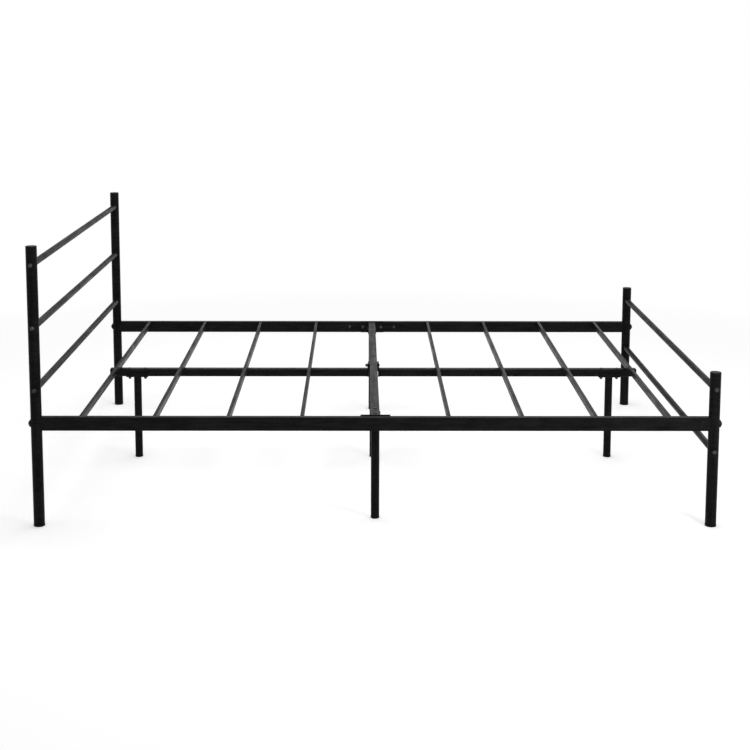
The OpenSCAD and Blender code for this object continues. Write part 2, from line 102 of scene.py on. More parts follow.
def half(node):
    """Half sizes of a CAD node's box, as a numpy array in metres."""
    low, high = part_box(node)
    return (np.array(high) - np.array(low)) / 2


POST_R = float(half("head_post_left")[0])
POST_X = float(centre("foot_post_left")[0])
POST_Y = float(centre("foot_post_right")[1])
RAIL_Z = float(centre("side_rail_foot_right")[2])
RAIL_IN_Y = float(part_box("side_rail_foot_right")[0][1])
FOOT_T = float(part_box("head_post_left")[0][2])
CAP_T = float(cad_high[2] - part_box("head_post_left")[1][2])
WASHER_OUT = float(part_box("corner_washers")[1][0]) - POST_X
DECK_Z = float(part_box("slat_1")[1][2])
BEAM = float(2 * half("centre_rail_caps")[1])
CENTRE_RAIL_TOP = float(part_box("centre_rail_caps")[1][2])
HUB_X = float(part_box("centre_rail_foot")[0][0])
HUB_Z = float(centre("hub_bolt")[2])


# ---------------------------------------------------------------- properties


def length(name, description, default):
    """A length property in metres."""
    return FloatProperty(
        name=name, description=description, default=default, unit="LENGTH", min=0.0, precision=5
    )


def angle(name, description, degrees):
    """An angle property, its default given in degrees."""
    return FloatProperty(name=name, description=description, default=math.radians(degrees), unit="ROTATION")


def colour(name, description, default):
    """A linear colour property."""
    return FloatVectorProperty(
        name=name, description=description, default=default, subtype="COLOR", size=3, min=0.0, max=1.0
    )


def amount(name, description, default):
    """A plain number between nought and one."""
    return FloatProperty(
        name=name, description=description, default=default, min=0.0, max=1.0, subtype="FACTOR"
    )


def number(name, description, default):
    """A plain number of nought or more."""
    return FloatProperty(name=name, description=description, default=default, min=0.0)


class BedSizes(bpy.types.PropertyGroup):
    """Sizes of the small pieces."""

    leg_d: length("Leg diameter", "Outer diameter of the leg tubes", 25 * MM)
    tube_wall: length("Tube wall", "Wall of the post and leg tubes", 1.2 * MM)
    fit: length("Fit", "Clearance round a stem in its tube", 0.1 * MM)
    stem_l: length("Stem length", "Length of the cap and foot stems", 18 * MM)
    stem_wall: length("Stem wall", "Wall of the cap and foot stems", 1.8 * MM)
    foot_lip: length("Foot lip", "Amount that a foot stands proud of its tube", 0.5 * MM)
    edge_r: length("Edge radius", "Radius of the moulded edges", 1.2 * MM)
    plate_t: length("Plate thickness", "Thickness of the welded end plates", 3 * MM)
    saddle_t: length("Saddle thickness", "Thickness of the leg saddles", 2.5 * MM)
    saddle_pitch: length("Saddle bolt pitch", "Spacing of the two bolts in a saddle", 52 * MM)
    joint_near: length("Inner joint bolt", "Middle of the bed to the bolts in the end plate", 34 * MM)
    joint_far: length("Outer joint bolt", "Middle of the bed to the outer joint bolts", 84 * MM)
    barrel_x: length("Barrel nut place", "Post axis to the hole plug in the side rail", 35.6 * MM)
    plug_d: length("Hole plug diameter", "Diameter of the flange on a hole plug", 21 * MM)
    plug_t: length("Hole plug thickness", "Thickness of the flange on a hole plug", 1.6 * MM)
    weld_r: length("Weld bead radius", "Radius of a weld bead's section", 1.9 * MM)
    weld_pitch: length("Weld ripple pitch", "Distance between two ripples of a bead", 2.2 * MM)


class BedFasteners(bpy.types.PropertyGroup):
    """Sizes of the bolts, washers and nuts."""

    corner_d: length("Corner bolt", "Thread diameter of the corner bolts", 8 * MM)
    corner_head_d: length("Corner head", "Diameter of the head on a corner bolt", 16 * MM)
    corner_head_h: length("Corner head height", "Height of the head on a corner bolt", 5 * MM)
    bolt_d: length("Bolt", "Thread diameter of every other bolt", 6 * MM)
    head_d: length("Head", "Diameter of the head on every other bolt", 11 * MM)
    head_h: length("Head height", "Height of the head on every other bolt", 3.3 * MM)
    corner_washer_d: length("Corner washer", "Diameter of a corner bolt's washer", 22 * MM)
    bar_washer_d: length("Bar washer", "Diameter of a bar bolt's washer", 17 * MM)
    nut_af: length("Nut width", "Size of a dome nut across its flats", 10 * MM)
    dome_nut_h: length("Dome nut height", "Overall height of a dome nut", 9.5 * MM)


class BedFinish(bpy.types.PropertyGroup):
    """Colours and surface of the finishes."""

    # The coat's colour runs from the first colour to the second. The random mottle is the coat's own tone,
    # and the streaks along each tube are painted sheen.
    coat: colour("Powder coat", "Colour of the coat's darker streaks", (0.0008, 0.0008, 0.0009))
    coat_light_and_sheen: colour("Powder coat, light", "Colour of the coat's lighter streaks", (0.0090, 0.0090, 0.0094))
    coat_rough: amount("Coat roughness", "Middle roughness of the powder coat", 0.40)
    plastic: colour("Plastic", "Colour of the caps and feet", (0.0035, 0.0035, 0.0036))
    fastener: colour("Fastener", "Colour of the blackened bolts", (0.028, 0.028, 0.030))
    zinc: colour("Zinc", "Colour of the plated nuts", (0.55, 0.56, 0.58))
    gloss: amount("Coat gloss level", "Strength of the coat's straight-on reflection", 0.06)


class BedStudio(bpy.types.PropertyGroup):
    """Camera and light."""

    camera_side: length("Camera aside", "Camera's place along the bed from its middle", 0.0433)
    camera_back: length("Camera distance", "Camera's distance in front of the bed's middle", 4.5984)
    camera_up: length("Camera height", "Camera's height over the floor", 1.4083)
    pitch: angle("Pitch", "Angle that the camera looks down", 7.70)
    yaw: angle("Yaw", "Angle that the camera turns to the foot end", 0.21)
    roll: angle("Roll", "Angle that the camera leans", -0.09)
    lens: number("Lens", "Focal length in millimetres", 67.55)
    shift_x: number("Shift across", "Sideways shift of the picture", 0.0124)
    rise: number("Shift down", "Amount that the picture is shifted down", 0.2)
    sky: number("Sky level", "Strength of the light from all round", 0.45)
    softbox: number("Softbox power", "Power of the overhead softbox in watts", 62.0)
    strip: number("Strip power", "Power of the upright strip lamp in watts", 16.0)


GROUPS = (BedSizes, BedFasteners, BedFinish, BedStudio)
GROUP_NAMES = ("bed_sizes", "bed_fasteners", "bed_finish", "bed_studio")

# ---------------------------------------------------------------- surfaces


def grid_faces(rows, cols, wrap):
    """Quads of a grid: each joins a point with its neighbours in the next row and column, and wrap
    joins the last column to the first."""
    row = np.arange(rows - 1)[:, None] * cols
    col = np.arange(cols if wrap else cols - 1)[None, :]
    after = (col + 1) % cols
    return np.stack([row + col, row + after, row + cols + after, row + cols + col], -1).reshape(-1, 4)


def ring_stack(rings, cols):
    """Rings round the Z axis: each ring is a radius and a height, which may be arrays round the ring."""
    turn = np.arange(cols) * (2 * math.pi / cols)
    radius = np.array([np.broadcast_to(ring[0], cols) for ring in rings])
    height = np.array([np.broadcast_to(ring[1], cols) for ring in rings])
    return np.stack([radius * np.cos(turn), radius * np.sin(turn), height], -1)


def arc(mid_r, mid_z, radius, start, end, steps):
    """Rings on an arc: the middle plus the radius times the cosine and sine of an angle that runs
    from start to end, in degrees."""
    sweep = np.radians(np.linspace(start, end, steps))
    return [(mid_r + radius * math.cos(a), mid_z + radius * math.sin(a)) for a in sweep]


def hexagon(across, cols):
    """Radius round a hexagon: half its size across the flats over the cosine of the angle from the
    middle of the nearest flat."""
    turn = np.arange(cols) * (2 * math.pi / cols)
    sector = math.pi / 3
    return across / 2 / np.cos((turn % sector) - sector / 2)


def rounded_square(size, cols, power=14):
    """Radius round a square with round corners: a superellipse, whose x and y over half the size, each
    raised to a high power, add up to one."""
    turn = np.arange(cols) * (2 * math.pi / cols)
    reach = (np.abs(np.cos(turn)) ** power + np.abs(np.sin(turn)) ** power) ** (-1 / power)
    return size / 2 * reach


def facing(direction, up, origin):
    """Matrix that takes +Z to direction and +Y to up, then moves to origin."""
    z = np.array(direction, float)
    y = np.array(up, float)
    matrix = np.eye(4)
    matrix[:3, 0] = np.cross(y, z)
    matrix[:3, 1] = y
    matrix[:3, 2] = z
    matrix[:3, 3] = origin
    return matrix


def placed(points, matrices):
    """Copies of a grid: each matrix turns the points and then shifts them, all copies at once."""
    matrices = np.array(matrices)
    turned = np.einsum("kij,rcj->krci", matrices[:, :3, :3], points)
    return turned + matrices[:, None, None, :3, 3]


def add_piece(name, grids, material, stands_for=(), sharp=35):
    """One object from placed grids: doubles are merged, so that poles and seams close, and faces are
    turned outwards."""
    vertices = []
    faces = []
    start = 0
    for copies in grids:
        count, rows, cols, _ = copies.shape
        face = grid_faces(rows, cols, True)
        shifts = start + np.arange(count)[:, None, None] * rows * cols
        vertices.append(copies.reshape(-1, 3))
        faces.append((face[None] + shifts).reshape(-1, 4))
        start += count * rows * cols
    vertices = np.concatenate(vertices)
    faces = np.concatenate(faces)
    mesh = bpy.data.meshes.new(name)
    mesh.vertices.add(len(vertices))
    mesh.vertices.foreach_set("co", vertices.ravel())
    mesh.loops.add(faces.size)
    mesh.loops.foreach_set("vertex_index", faces.ravel())
    mesh.polygons.add(len(faces))
    mesh.polygons.foreach_set("loop_start", np.arange(len(faces)) * 4)
    mesh.update(calc_edges=True)
    shell = bmesh.new()
    shell.from_mesh(mesh)
    bmesh.ops.remove_doubles(shell, verts=shell.verts, dist=1e-6)
    bmesh.ops.dissolve_degenerate(shell, edges=shell.edges, dist=1e-7)
    bmesh.ops.recalc_face_normals(shell, faces=shell.faces)
    shell.to_mesh(mesh)
    shell.free()
    mesh.shade_smooth()
    mesh.set_sharp_from_angle(angle=math.radians(sharp))
    mesh.materials.append(material)
    piece = bpy.data.objects.new(name, mesh)
    bpy.context.scene.collection.objects.link(piece)
    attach(piece, BODY)
    if stands_for:
        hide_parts(*stands_for)
    return piece


# ---------------------------------------------------------------- moulded pieces


def stem_rings(radius, wall, depth, roof):
    """Hollow stem below z = 0: three soft ribs outside, then the bore back up to the roof."""
    down = np.linspace(0, 1, 25)
    swell = 0.12 * MM * np.sin(down * 3 * math.pi) ** 2
    outside = [(radius - 0.12 * MM + s, -depth * d) for d, s in zip(down, swell)]
    bore = radius - wall
    return outside + [(bore, -depth), (bore, roof), (0.0, roof)]


def cap_rings(disc_r, disc_t, edge_r, crown, stem_r, stem_wall, stem_l):
    """Push-in cap: a slightly crowned top, a round edge and a hollow stem."""
    across = np.linspace(0, 1, 7)
    flat_r = disc_r - edge_r
    top = [(flat_r * a, disc_t - crown * a * a) for a in across]
    edge = arc(flat_r, disc_t - crown - edge_r, edge_r, 90, 0, 7)
    return top + edge + [(disc_r, 0.0)] + stem_rings(stem_r, stem_wall, stem_l, -0.4 * MM)


def foot_rings(tube_r, thickness, sizes):
    """Foot, measured from the floor up: a hollowed sole, a tread ring, a round rim and a stem."""
    rim = tube_r + sizes.foot_lip
    edge = sizes.edge_r
    hollow = 0.8 * MM
    sole = [(0.0, hollow), (tube_r * 0.55, hollow), (tube_r * 0.62, 0.0), (rim - edge, 0.0)]
    side = arc(rim - edge, edge, edge, -90, 0, 7)
    shoulder = arc(rim - 0.5 * MM, thickness - 0.5 * MM, 0.5 * MM, 0, 90, 4)
    stem_r = tube_r - sizes.tube_wall - sizes.fit
    stem = stem_rings(stem_r, sizes.stem_wall, sizes.stem_l, -0.4 * MM)
    return sole + side + shoulder + [(r, thickness - z) for r, z in stem]


def plug_rings(disc_r, disc_t, stem_r, stem_l):
    """Hole plug: a dished face inside a raised ring, a thin round rim and a short stem."""
    dish = 0.5 * MM
    lip = 0.7 * MM
    face = [(0.0, disc_t - dish), (disc_r * 0.5, disc_t - dish), (disc_r * 0.62, disc_t - dish * 0.9)]
    ridge = arc(disc_r * 0.74, disc_t - 1.0 * MM, 1.0 * MM, 125, 55, 7)
    rim = arc(disc_r - lip, lip * 0.6, lip, 60, 0, 5)
    return face + ridge + rim + [(disc_r, 0.0)] + stem_rings(stem_r, 1.6 * MM, stem_l, -0.2 * MM)


def square_cap_rings(size, disc_t, sizes, cols):
    """Square cap: rings that grow from a round middle to a square with round corners, then a square stem."""
    outline = rounded_square(size, cols)
    edge = sizes.edge_r
    crown = 0.6 * MM
    across = np.linspace(0, 1, 8)
    inner = outline - edge
    top = [(inner * a, disc_t - crown * a * a) for a in across]
    bend = [(inner + r, z) for r, z in arc(0.0, disc_t - crown - edge, edge, 90, 0, 6)]
    stem = outline - sizes.tube_wall - sizes.fit
    bore = stem - sizes.stem_wall
    roof = -0.4 * MM
    outside = [(outline, 0.0), (stem, 0.0), (stem, -sizes.stem_l)]
    inside = [(bore, -sizes.stem_l), (bore, roof), (0.0, roof)]
    return top + bend + outside + inside


# ---------------------------------------------------------------- fasteners


def thread_rings(diameter, pitch, start, end, cols):
    """Thread down from start to end: the radius drops by a triangle wave of the height over the pitch
    plus the turn, and the wave fades out over one pitch at each end."""
    rows = int((start - end) / pitch * 4) + 1
    height = np.linspace(start, end, rows)[:, None]
    turn = np.arange(cols)[None, :] / cols
    phase = (height / pitch + turn) % 1.0
    depth = 0.55 * pitch * np.abs(2 * phase - 1)
    fade = np.clip(np.minimum(start - height, height - end) / pitch, 0, 1)
    radius = diameter / 2 - depth * fade
    radius = radius - (1 - fade) * 0.1 * pitch
    return [(r, h[0]) for r, h in zip(radius, height)]


def bolt_rings(head_d, head_h, shank_d, shank_l, thread_l, pitch, cols):
    """Dome-headed bolt: a hexagon socket, a dome of one radius, a thin rim, a plain shank, a thread and
    a chamfered tip."""
    rim = 0.4 * MM
    rise = head_h - rim
    dome = (head_d**2 / 4 + rise**2) / (2 * rise)
    socket = hexagon(head_d * 0.36, cols)
    floor = head_h * 0.42
    mouth = head_d * 0.235
    radii = np.linspace(mouth, head_d / 2 - 0.15 * MM, 12)
    cap = [(r, head_h - dome + math.sqrt(dome**2 - r**2)) for r in radii]
    mouth_z = cap[0][1]
    well = [(0.0, floor - 0.5 * MM), (socket * 0.9, floor), (socket, floor + 0.2 * MM)]
    well.append((socket, mouth_z - 0.35 * MM))
    edge = [(head_d / 2, rim), (head_d / 2, 0.15 * MM), (head_d / 2 - 0.15 * MM, 0.0)]
    shank_r = shank_d / 2
    plain = shank_l - thread_l
    neck = [(shank_r + 0.3 * MM, 0.0), (shank_r - 0.1 * pitch, -0.3 * MM), (shank_r - 0.1 * pitch, -plain)]
    tip = shank_r * 0.35
    thread = thread_rings(shank_d, pitch, -plain, -shank_l + tip, cols)
    return well + cap + edge + neck + thread + [(shank_r - tip, -shank_l), (0.0, -shank_l)]


def washer_rings(outer_d, hole_r, cols):
    """Saddle washer: flat on top with a round rim. Below, its height is the square root of the post's
    radius squared less x squared, so it sits on the post's round side."""
    turn = np.arange(cols) * (2 * math.pi / cols)
    outer = outer_d / 2
    edge = 0.8 * MM

    def seat(radius):
        return np.sqrt(POST_R**2 - (radius * np.cos(turn)) ** 2) - WASHER_OUT

    top = [(hole_r, -0.3 * MM), (hole_r + 0.3 * MM, 0.0), (outer - edge, 0.0)]
    rim = arc(outer - edge, -edge, edge, 90, 0, 5)
    side = [(outer, -edge + (seat(outer) + edge) * share) for share in np.linspace(0.2, 1, 5)]
    under = [(r, seat(r)) for r in np.linspace(outer, hole_r, 7)]
    return top + rim + side + under + [(hole_r, -0.3 * MM)]


def dome_nut_rings(across, height, bore_r, depth, cols):
    """Dome nut: the smaller of the hexagon's reach and a chamfer cone at each end, then a dome that
    closes at the pole."""
    flat = hexagon(across, cols)
    seat_r = across * 0.48
    hex_h = height * 0.5
    slope = math.tan(math.radians(60))
    rise = np.linspace(0, (flat.max() - seat_r) / slope, 4)
    lower = [(np.minimum(flat, seat_r + slope * z), z) for z in rise]
    upper = [(np.minimum(flat, seat_r + slope * z), hex_h - z) for z in rise[::-1]]
    dome_r = across * 0.46
    dome_low = height - dome_r
    dome = arc(0.0, dome_low, dome_r, 0, 90, 10)
    bore = [(0.0, depth), (bore_r, depth), (bore_r, 0.3 * MM), (bore_r + 0.3 * MM, 0.0)]
    return bore + lower + upper + [(dome_r, hex_h)] + dome


def weld_bead(outline, sizes, samples_per_ripple=6, section=10):
    """Bead round a closed outline: a small circle carried along it at even steps, whose radius swells
    as a cosine once every ripple."""
    step = np.diff(np.vstack([outline, outline[:1]]), axis=0)
    along = np.concatenate([[0.0], np.cumsum(np.hypot(step[:, 0], step[:, 1]))])
    ripples = round(along[-1] / sizes.weld_pitch)
    count = ripples * samples_per_ripple
    wanted = np.arange(count) * along[-1] / count
    closed = np.vstack([outline, outline[:1]])
    path = np.stack([np.interp(wanted, along, closed[:, axis]) for axis in (0, 1)], -1)
    forward = np.roll(path, -1, axis=0) - np.roll(path, 1, axis=0)
    forward /= np.linalg.norm(forward, axis=1)[:, None]
    outward = np.stack([forward[:, 1], -forward[:, 0]], -1)
    swell = sizes.weld_r * (1 + 0.09 * np.cos(wanted * 2 * math.pi / (along[-1] / ripples)))
    turn = np.arange(section + 1) * (2 * math.pi / section)
    side = swell[None, :] * np.cos(turn)[:, None]
    lift = swell[None, :] * np.sin(turn)[:, None]
    flat = path[None] + outward[None] * side[..., None]
    return np.concatenate([flat, lift[..., None]], -1)


def outline_points(radius, cols):
    """Points of a closed outline from its radius round the turn."""
    turn = np.arange(cols) * (2 * math.pi / cols)
    return np.stack([radius * np.cos(turn), radius * np.sin(turn)], -1)


# ---------------------------------------------------------------- where the fasteners go


def corner_places():
    """Seats of the corner bolts: outside each post, pointing along the bed."""
    reach = POST_X + WASHER_OUT
    return [facing((sx, 0, 0), (0, 0, 1), (sx * reach, sy * POST_Y, RAIL_Z)) for sx in ENDS for sy in ENDS]


def bar_places():
    """Seats of the bar bolts: outside each post, level with each bar, pointing across the bed."""
    reach = POST_Y + WASHER_OUT
    spots = [(centre(bar)[0], centre(bar)[2]) for bar in BARS]
    return [facing((0, sy, 0), (0, 0, 1), (x, sy * reach, z)) for x, z in spots for sy in ENDS]


def joint_places(sizes, inner):
    """Seats of the rail joint bolts: on the end plates if inner, else on the rails' inner faces."""
    x = sizes.joint_near if inner else sizes.joint_far
    y = RAIL_IN_Y - (sizes.plate_t if inner else 0.0)
    return [facing((0, -sy, 0), (0, 0, 1), (sx * x, sy * y, RAIL_Z)) for sx in ENDS for sy in ENDS]


def saddle_places(sizes, upward):
    """Seats of the saddle bolts on the beams' tops if upward, else of their nuts under the saddles."""
    up = 1 if upward else -1
    offset = 0.0 if upward else -BEAM - sizes.saddle_t
    places = []
    for leg in CENTRE_LEGS:
        x = centre(leg)[0]
        places += [(x + s * sizes.saddle_pitch / 2, 0, CENTRE_RAIL_TOP + offset) for s in ENDS]
    for leg in SIDE_LEGS:
        y = centre(leg)[1]
        places += [(0, y + s * sizes.saddle_pitch / 2, DECK_Z + offset) for s in ENDS]
    return [facing((0, 0, up), (0, 1, 0), place) for place in places]


# ---------------------------------------------------------------- shader node groups


def new_group(name, inputs, outputs):
    """A shader group whose sockets are given as (name, socket type, default)."""
    group = bpy.data.node_groups.new(name, "ShaderNodeTree")
    for label, kind, default in inputs:
        socket = group.interface.new_socket(name=label, in_out="INPUT", socket_type=kind)
        if default is not None:
            socket.default_value = default
    for label, kind in outputs:
        group.interface.new_socket(name=label, in_out="OUTPUT", socket_type=kind)
    return group, group.nodes.new("NodeGroupInput"), group.nodes.new("NodeGroupOutput")


def noise(nodes, links, vector, scale, detail=2.0):
    """A noise texture at a scale that is a number or a socket."""
    node = nodes.new("ShaderNodeTexNoise")
    node.inputs["Detail"].default_value = detail
    links.new(vector, node.inputs["Vector"])
    if isinstance(scale, (int, float)):
        node.inputs["Scale"].default_value = scale
    else:
        links.new(scale, node.inputs["Scale"])
    return node.outputs["Fac"]


def math_node(nodes, links, operation, first, second, third=None):
    """A maths node whose inputs are numbers or sockets."""
    node = nodes.new("ShaderNodeMath")
    node.operation = operation
    for slot, value in zip(node.inputs, (first, second, third)):
        if value is None:
            continue
        if isinstance(value, (int, float)):
            slot.default_value = value
        else:
            links.new(value, slot)
    return node.outputs[0]


def spread(nodes, links, value, low, high):
    """Stretches a value so that low becomes nought and high becomes one."""
    node = nodes.new("ShaderNodeMapRange")
    node.inputs["From Min"].default_value = low
    node.inputs["From Max"].default_value = high
    links.new(value, node.inputs["Value"])
    return node.outputs["Result"]


def coat_texture_group():
    """Sprayed or moulded surface: a grain and slow waves as a height, a cloudy mottle, and streaks that
    run along the piece. In the powder coat's colour the streaks are painted sheen."""
    group, start, end = new_group(
        "coat_texture",
        [
            ("Vector", "NodeSocketVector", None),
            ("Stretch", "NodeSocketVector", (1.0, 1.0, 1.0)),
            ("Grain Scale", "NodeSocketFloat", 1400.0),
            ("Wave Scale", "NodeSocketFloat", 260.0),
            ("Wave Share", "NodeSocketFloat", 0.5),
            ("Mottle Scale", "NodeSocketFloat", 18.0),
        ],
        [("Height", "NodeSocketFloat"), ("Mottle", "NodeSocketFloat"), ("Streak", "NodeSocketFloat")],
    )
    nodes, links = group.nodes, group.links
    vector = start.outputs["Vector"]
    grain = noise(nodes, links, vector, start.outputs["Grain Scale"], 3.0)
    wave = noise(nodes, links, vector, start.outputs["Wave Scale"], 1.0)
    mottle = noise(nodes, links, vector, start.outputs["Mottle Scale"], 4.0)
    speck = noise(nodes, links, vector, SPECK_SCALE, 2.0)
    height = math_node(nodes, links, "MULTIPLY_ADD", wave, start.outputs["Wave Share"], grain)
    cloud = math_node(nodes, links, "MULTIPLY_ADD", speck, 0.45, mottle)
    drawn = nodes.new("ShaderNodeMapping")
    links.new(vector, drawn.inputs["Vector"])
    links.new(start.outputs["Stretch"], drawn.inputs["Scale"])
    # Streaks along the piece. In the powder coat's colour they are painted sheen.
    streak = noise(nodes, links, drawn.outputs["Vector"], STREAK_SCALE, 3.0)
    links.new(height, end.inputs["Height"])
    links.new(spread(nodes, links, cloud, 0.52, 0.92), end.inputs["Mottle"])
    links.new(spread(nodes, links, streak, 0.36, 0.66), end.inputs["Streak"])
    return group


def rub_group():
    """Rubbed marks: noise drawn out across the grain and cut at a level, as a mask from nought to one."""
    group, start, end = new_group(
        "rub_marks",
        [
            ("Vector", "NodeSocketVector", None),
            ("Scale", "NodeSocketFloat", 60.0),
            ("Level", "NodeSocketFloat", 0.62),
        ],
        [("Mask", "NodeSocketFloat")],
    )
    nodes, links = group.nodes, group.links
    stretch = nodes.new("ShaderNodeMapping")
    stretch.inputs["Scale"].default_value = (0.35, 1.0, 1.9)
    links.new(start.outputs["Vector"], stretch.inputs["Vector"])
    streak = noise(nodes, links, stretch.outputs["Vector"], start.outputs["Scale"], 5.0)
    patch = noise(nodes, links, start.outputs["Vector"], PATCH_SCALE, 2.0)
    both = math_node(nodes, links, "MULTIPLY_ADD", patch, 0.35, streak)
    over = math_node(nodes, links, "SUBTRACT", both, start.outputs["Level"])
    mask = math_node(nodes, links, "MULTIPLY", over, 4.0)
    clamp = nodes.new("ShaderNodeClamp")
    links.new(mask, clamp.inputs["Value"])
    links.new(clamp.outputs["Result"], end.inputs["Mask"])
    return group


def place_group(material, group, values):
    """Puts a shader group in a material on Object coordinates, with its own values."""
    nodes, links = material.node_tree.nodes, material.node_tree.links
    coordinates = nodes.new("ShaderNodeTexCoord")
    node = nodes.new("ShaderNodeGroup")
    node.node_tree = group
    links.new(coordinates.outputs["Object"], node.inputs["Vector"])
    for label, value in values.items():
        node.inputs[label].default_value = value
    return node


def surface_material(name, dark, light, roughness, spread_by, bump, values, metallic=0.0, gloss=0.5, rub=0.0):
    """A finish: streaked and mottled colour and roughness, a grain bump, and faint rubbed marks, which
    are lighter and smoother. The lighter streaks in the coat's colour are painted sheen; the mottle is the
    coat's own tone."""
    material = bpy.data.materials.new(name)
    material.use_nodes = True
    nodes, links = material.node_tree.nodes, material.node_tree.links
    shader = nodes["Principled BSDF"]
    texture = place_group(material, bpy.data.node_groups["coat_texture"], values)
    rubbed = place_group(material, bpy.data.node_groups["rub_marks"], {})
    # Painted sheen: the mix towards the lighter colour follows the streaks along each tube, as well as the
    # coat's own random mottle.
    tone_and_sheen_share = math_node(nodes, links, "MULTIPLY", texture.outputs["Mottle"], 0.45)
    tone_and_sheen_share = math_node(nodes, links, "MULTIPLY_ADD", texture.outputs["Streak"], 0.55, tone_and_sheen_share)
    tint = nodes.new("ShaderNodeMix")
    tint.data_type = "RGBA"
    tint.inputs["A"].default_value = (*dark, 1.0)
    tint.inputs["B"].default_value = (*light, 1.0)
    links.new(tone_and_sheen_share, tint.inputs["Factor"])
    worn = nodes.new("ShaderNodeMix")
    worn.data_type = "RGBA"
    worn.inputs["B"].default_value = (*(min(1.0, 2.2 * c) for c in light), 1.0)
    worn_share = math_node(nodes, links, "MULTIPLY", rubbed.outputs["Mask"], rub)
    links.new(worn_share, worn.inputs["Factor"])
    links.new(tint.outputs["Result"], worn.inputs["A"])
    rough = math_node(nodes, links, "MULTIPLY_ADD", tone_and_sheen_share, spread_by, roughness - spread_by / 2)
    rough = math_node(nodes, links, "MULTIPLY_ADD", worn_share, -0.12, rough)
    height = nodes.new("ShaderNodeBump")
    height.inputs["Strength"].default_value = BUMP_STRENGTH
    height.inputs["Distance"].default_value = bump
    links.new(texture.outputs["Height"], height.inputs["Height"])
    links.new(worn.outputs["Result"], shader.inputs["Base Color"])
    links.new(rough, shader.inputs["Roughness"])
    links.new(height.outputs["Normal"], shader.inputs["Normal"])
    shader.inputs["Metallic"].default_value = metallic
    shader.inputs["Specular IOR Level"].default_value = gloss
    return material


def finish(name):
    """A material of this script by its name."""
    return bpy.data.materials[name]


# ---------------------------------------------------------------- operators


class BED_OT_finishes(bpy.types.Operator):
    """Make the materials and put them on the CAD tubes, rails and hidden nuts"""

    bl_idname = "bed.finishes"
    bl_label = "Finishes"

    def coats(self, look):
        """The powder coat in three versions, streaked with painted sheen along X, Y or Z as the tube that it
        covers runs.
        """
        coat = {"Grain Scale": 1500.0, "Wave Scale": 240.0, "Wave Share": 0.9, "Mottle Scale": 16.0}
        runs = (("x", (0.05, 1, 1), 1.0), ("y", (1, 0.05, 1), 1.0), ("z", (1, 1, 0.05), 0.7))
        for run, stretch, share in runs:
            surface_material(
                f"powder_coat_{run}", look.coat, look.coat_light_and_sheen, look.coat_rough, 0.26, 0.22 * MM,
                {**coat, "Stretch": stretch}, gloss=look.gloss * share, rub=0.3,
            )
        surface_material(
            "powder_coat_bars", look.coat, look.coat_light_and_sheen, look.coat_rough + 0.04, 0.30, 0.22 * MM,
            {**coat, "Stretch": (1, 0.05, 1)}, gloss=look.gloss, rub=0.3,
        )

    def execute(self, context):
        look = context.scene.bed_finish
        coat_texture_group()
        rub_group()
        self.coats(look)
        surface_material(
            "moulded_black", look.plastic, [2.0 * c for c in look.plastic], 0.42, 0.10, 0.10 * MM,
            {"Grain Scale": 2600.0, "Wave Scale": 500.0, "Wave Share": 0.2, "Mottle Scale": 40.0},
            gloss=look.gloss * 1.2, rub=0.15,
        )
        surface_material(
            "blackened_steel", look.fastener, [1.7 * c for c in look.fastener], 0.22, 0.10, 0.02 * MM,
            {"Grain Scale": 3200.0, "Wave Scale": 700.0, "Wave Share": 0.5, "Mottle Scale": 120.0},
            metallic=0.7, gloss=0.25, rub=0.5,
        )
        surface_material(
            "washer_black", look.coat, look.coat_light_and_sheen, 0.36, 0.10, 0.03 * MM,
            {"Grain Scale": 2600.0, "Wave Scale": 600.0, "Wave Share": 0.4, "Mottle Scale": 90.0},
            gloss=look.gloss * 1.4, rub=0.5,
        )
        surface_material(
            "zinc_plate", look.zinc, [min(1.0, 1.2 * c) for c in look.zinc], 0.30, 0.14, 0.02 * MM,
            {"Grain Scale": 2400.0, "Wave Scale": 500.0, "Wave Share": 0.5, "Mottle Scale": 150.0},
            metallic=1.0, rub=0.3,
        )
        by_slot = {
            "black_plastic": "moulded_black",
            "black_fastener": "blackened_steel",
            "washer_coat": "washer_black",
            "zinc_nut": "zinc_plate",
        }
        for part in frame["record"]["subparts"]:
            node = part["node"]
            coat = "powder_coat_bars" if node in BARS else f"powder_coat_{'xyz'[int(np.argmax(half(node)))]}"
            material = finish(by_slot.get(part["material_slot"], coat))
            for slot in frame["nodes"][node].material_slots:
                slot.material = material
        return {"FINISHED"}


class BED_OT_caps(bpy.types.Operator):
    """Add the post caps and the caps of the centre rail"""

    bl_idname = "bed.caps"
    bl_label = "Caps"

    def execute(self, context):
        sizes = context.scene.bed_sizes
        stem_r = POST_R - sizes.tube_wall - sizes.fit
        stem = (stem_r, sizes.stem_wall, sizes.stem_l)
        cap = ring_stack(cap_rings(POST_R, CAP_T, sizes.edge_r, 0.5 * MM, *stem), 64)
        tops = [(*centre(post)[:2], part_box(post)[1][2]) for post in POSTS]
        places = [facing((0, 0, 1), (0, 1, 0), top) for top in tops]
        plastic = finish("moulded_black")
        add_piece("post_cap_set", [placed(cap, places)], plastic, ["post_caps"])
        cols = 96
        square = ring_stack(square_cap_rings(BEAM, CAP_T, sizes, cols), cols)
        end = float(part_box("centre_rail_caps")[1][0]) - CAP_T
        height = float(centre("centre_rail_caps")[2])
        places = [facing((sx, 0, 0), (0, 0, 1), (sx * end, 0, height)) for sx in ENDS]
        square_caps = [placed(square, places)]
        add_piece("centre_rail_cap_set", square_caps, plastic, ["centre_rail_caps"])
        return {"FINISHED"}


